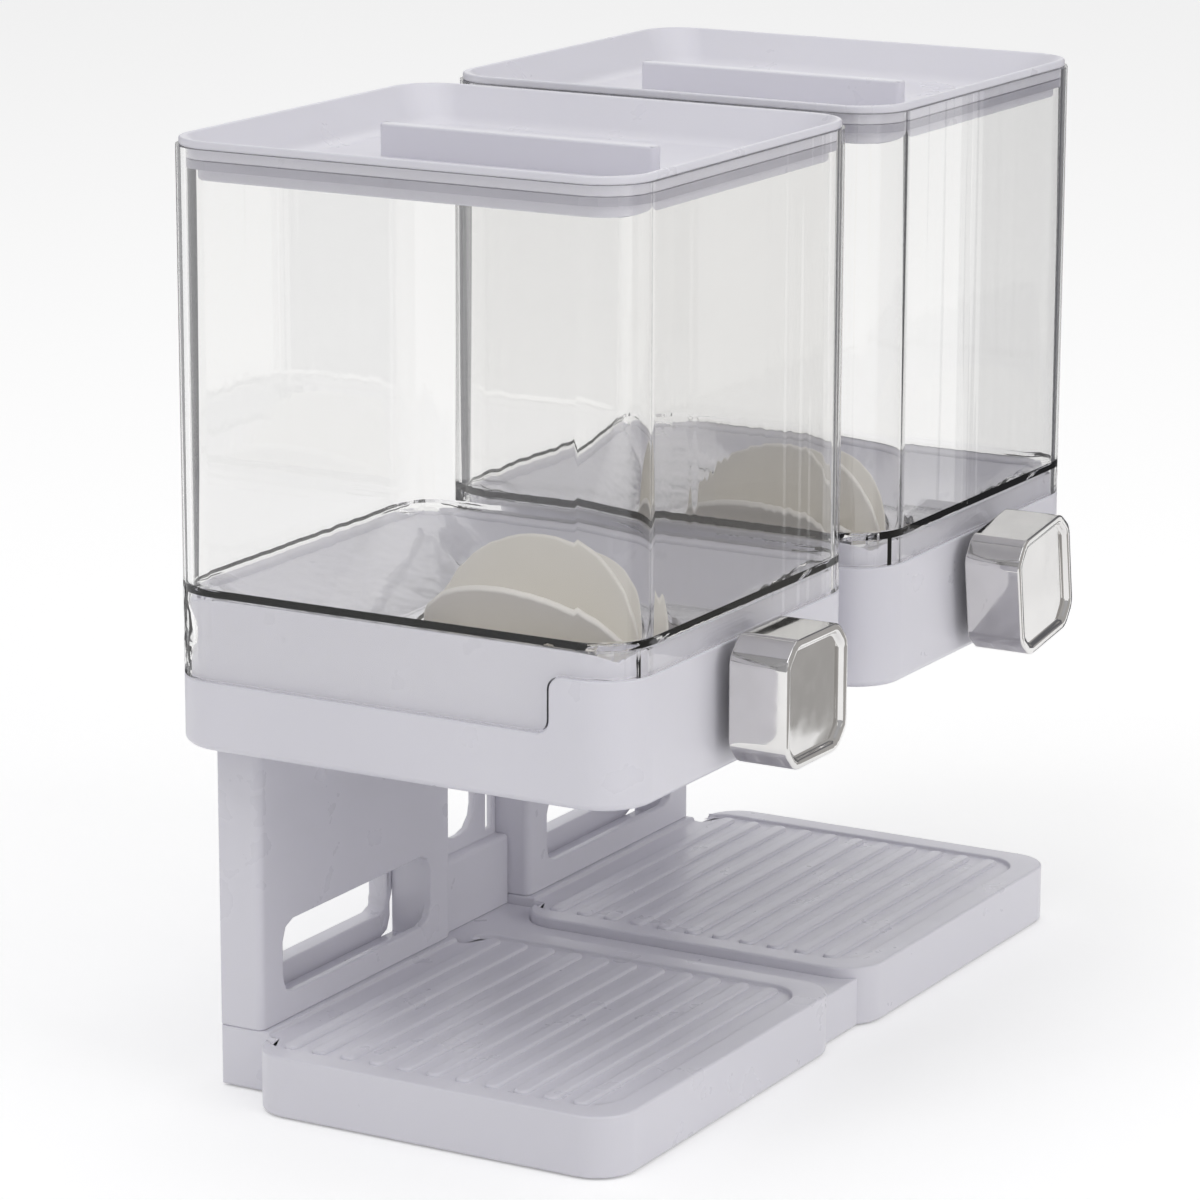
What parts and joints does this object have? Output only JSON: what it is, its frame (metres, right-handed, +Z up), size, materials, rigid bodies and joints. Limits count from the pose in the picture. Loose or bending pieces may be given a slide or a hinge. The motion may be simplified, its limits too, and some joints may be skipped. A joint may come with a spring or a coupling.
{
  "type": "double cereal dispenser",
  "caption": "Wall-mounted double cereal dispenser: clear boxes with lift-off lids over white holders, chromed turning knobs with paddle wheels, pillars and ribbed drip trays.",
  "frame": {"origin": "on the ground plane, below the centre of the whole dispenser's bounding box", "axes": "+Z up, the knobs and the front face -Y, the wall is at +Y, +X runs from the left module to the right one"},
  "size_m": [0.309, 0.184, 0.299],
  "materials": {
    "white_plastic": "satin white with a faint lilac tint",
    "clear_plastic": "crystal clear",
    "paddle_silicone": "soft matt cream",
    "seal_rubber": "soft matt",
    "knob_chrome": "mirror chrome plating",
    "shaft_plastic": "matt",
    "bush_plastic": "matt",
    "screw_steel": "zinc plated",
    "foot_rubber": "matt"
  },
  "bodies": {
    "stand": {"holder_left": "white_plastic", "hopper_left": "white_plastic", "holder_screws_left": "screw_steel", "shaft_bush_left": "bush_plastic", "base_left": "white_plastic", "rubber_feet_left": "foot_rubber", "pillar_left": "white_plastic", "pillar_screws_left": "screw_steel", "wall_bracket_left": "white_plastic", "bracket_screws_left": "screw_steel", "holder_right": "white_plastic", "hopper_right": "white_plastic", "holder_screws_right": "screw_steel", "shaft_bush_right": "bush_plastic", "base_right": "white_plastic", "rubber_feet_right": "foot_rubber", "pillar_right": "white_plastic", "pillar_screws_right": "screw_steel", "wall_bracket_right": "white_plastic", "bracket_screws_right": "screw_steel", "rear_bridge": "white_plastic", "bridge_screws": "screw_steel", "tray_link": "white_plastic"},
    "container_left": {"container_left": "clear_plastic"},
    "lid_left": {"lid_left": "white_plastic", "lid_seal_left": "seal_rubber"},
    "dial_left": {"knob_left": "knob_chrome", "drive_shaft_left": "shaft_plastic", "paddle_wheel_left": "paddle_silicone"},
    "container_right": {"container_right": "clear_plastic"},
    "lid_right": {"lid_right": "white_plastic", "lid_seal_right": "seal_rubber"},
    "dial_right": {"knob_right": "knob_chrome", "drive_shaft_right": "shaft_plastic", "paddle_wheel_right": "paddle_silicone"}
  },
  "joints": [
    {"name": "dial_turn_left", "type": "hinge", "parent": "stand", "child": "dial_left", "pos_m": [-0.081, 0.0015, 0.1355], "axis": [0, 1, 0], "continuous": true},
    {"name": "container_lift_left", "type": "slide", "parent": "stand", "child": "container_left", "axis": [0, 0, 1], "range_m": [0, 0.06]},
    {"name": "lid_lift_left", "type": "slide", "parent": "container_left", "child": "lid_left", "axis": [0, 0, 1], "range_m": [0, 0.05]},
    {"name": "dial_turn_right", "type": "hinge", "parent": "stand", "child": "dial_right", "pos_m": [0.081, 0.0015, 0.1355], "axis": [0, 1, 0], "continuous": true},
    {"name": "container_lift_right", "type": "slide", "parent": "stand", "child": "container_right", "axis": [0, 0, 1], "range_m": [0, 0.06]},
    {"name": "lid_lift_right", "type": "slide", "parent": "container_right", "child": "lid_right", "axis": [0, 0, 1], "range_m": [0, 0.05]}
  ]
}
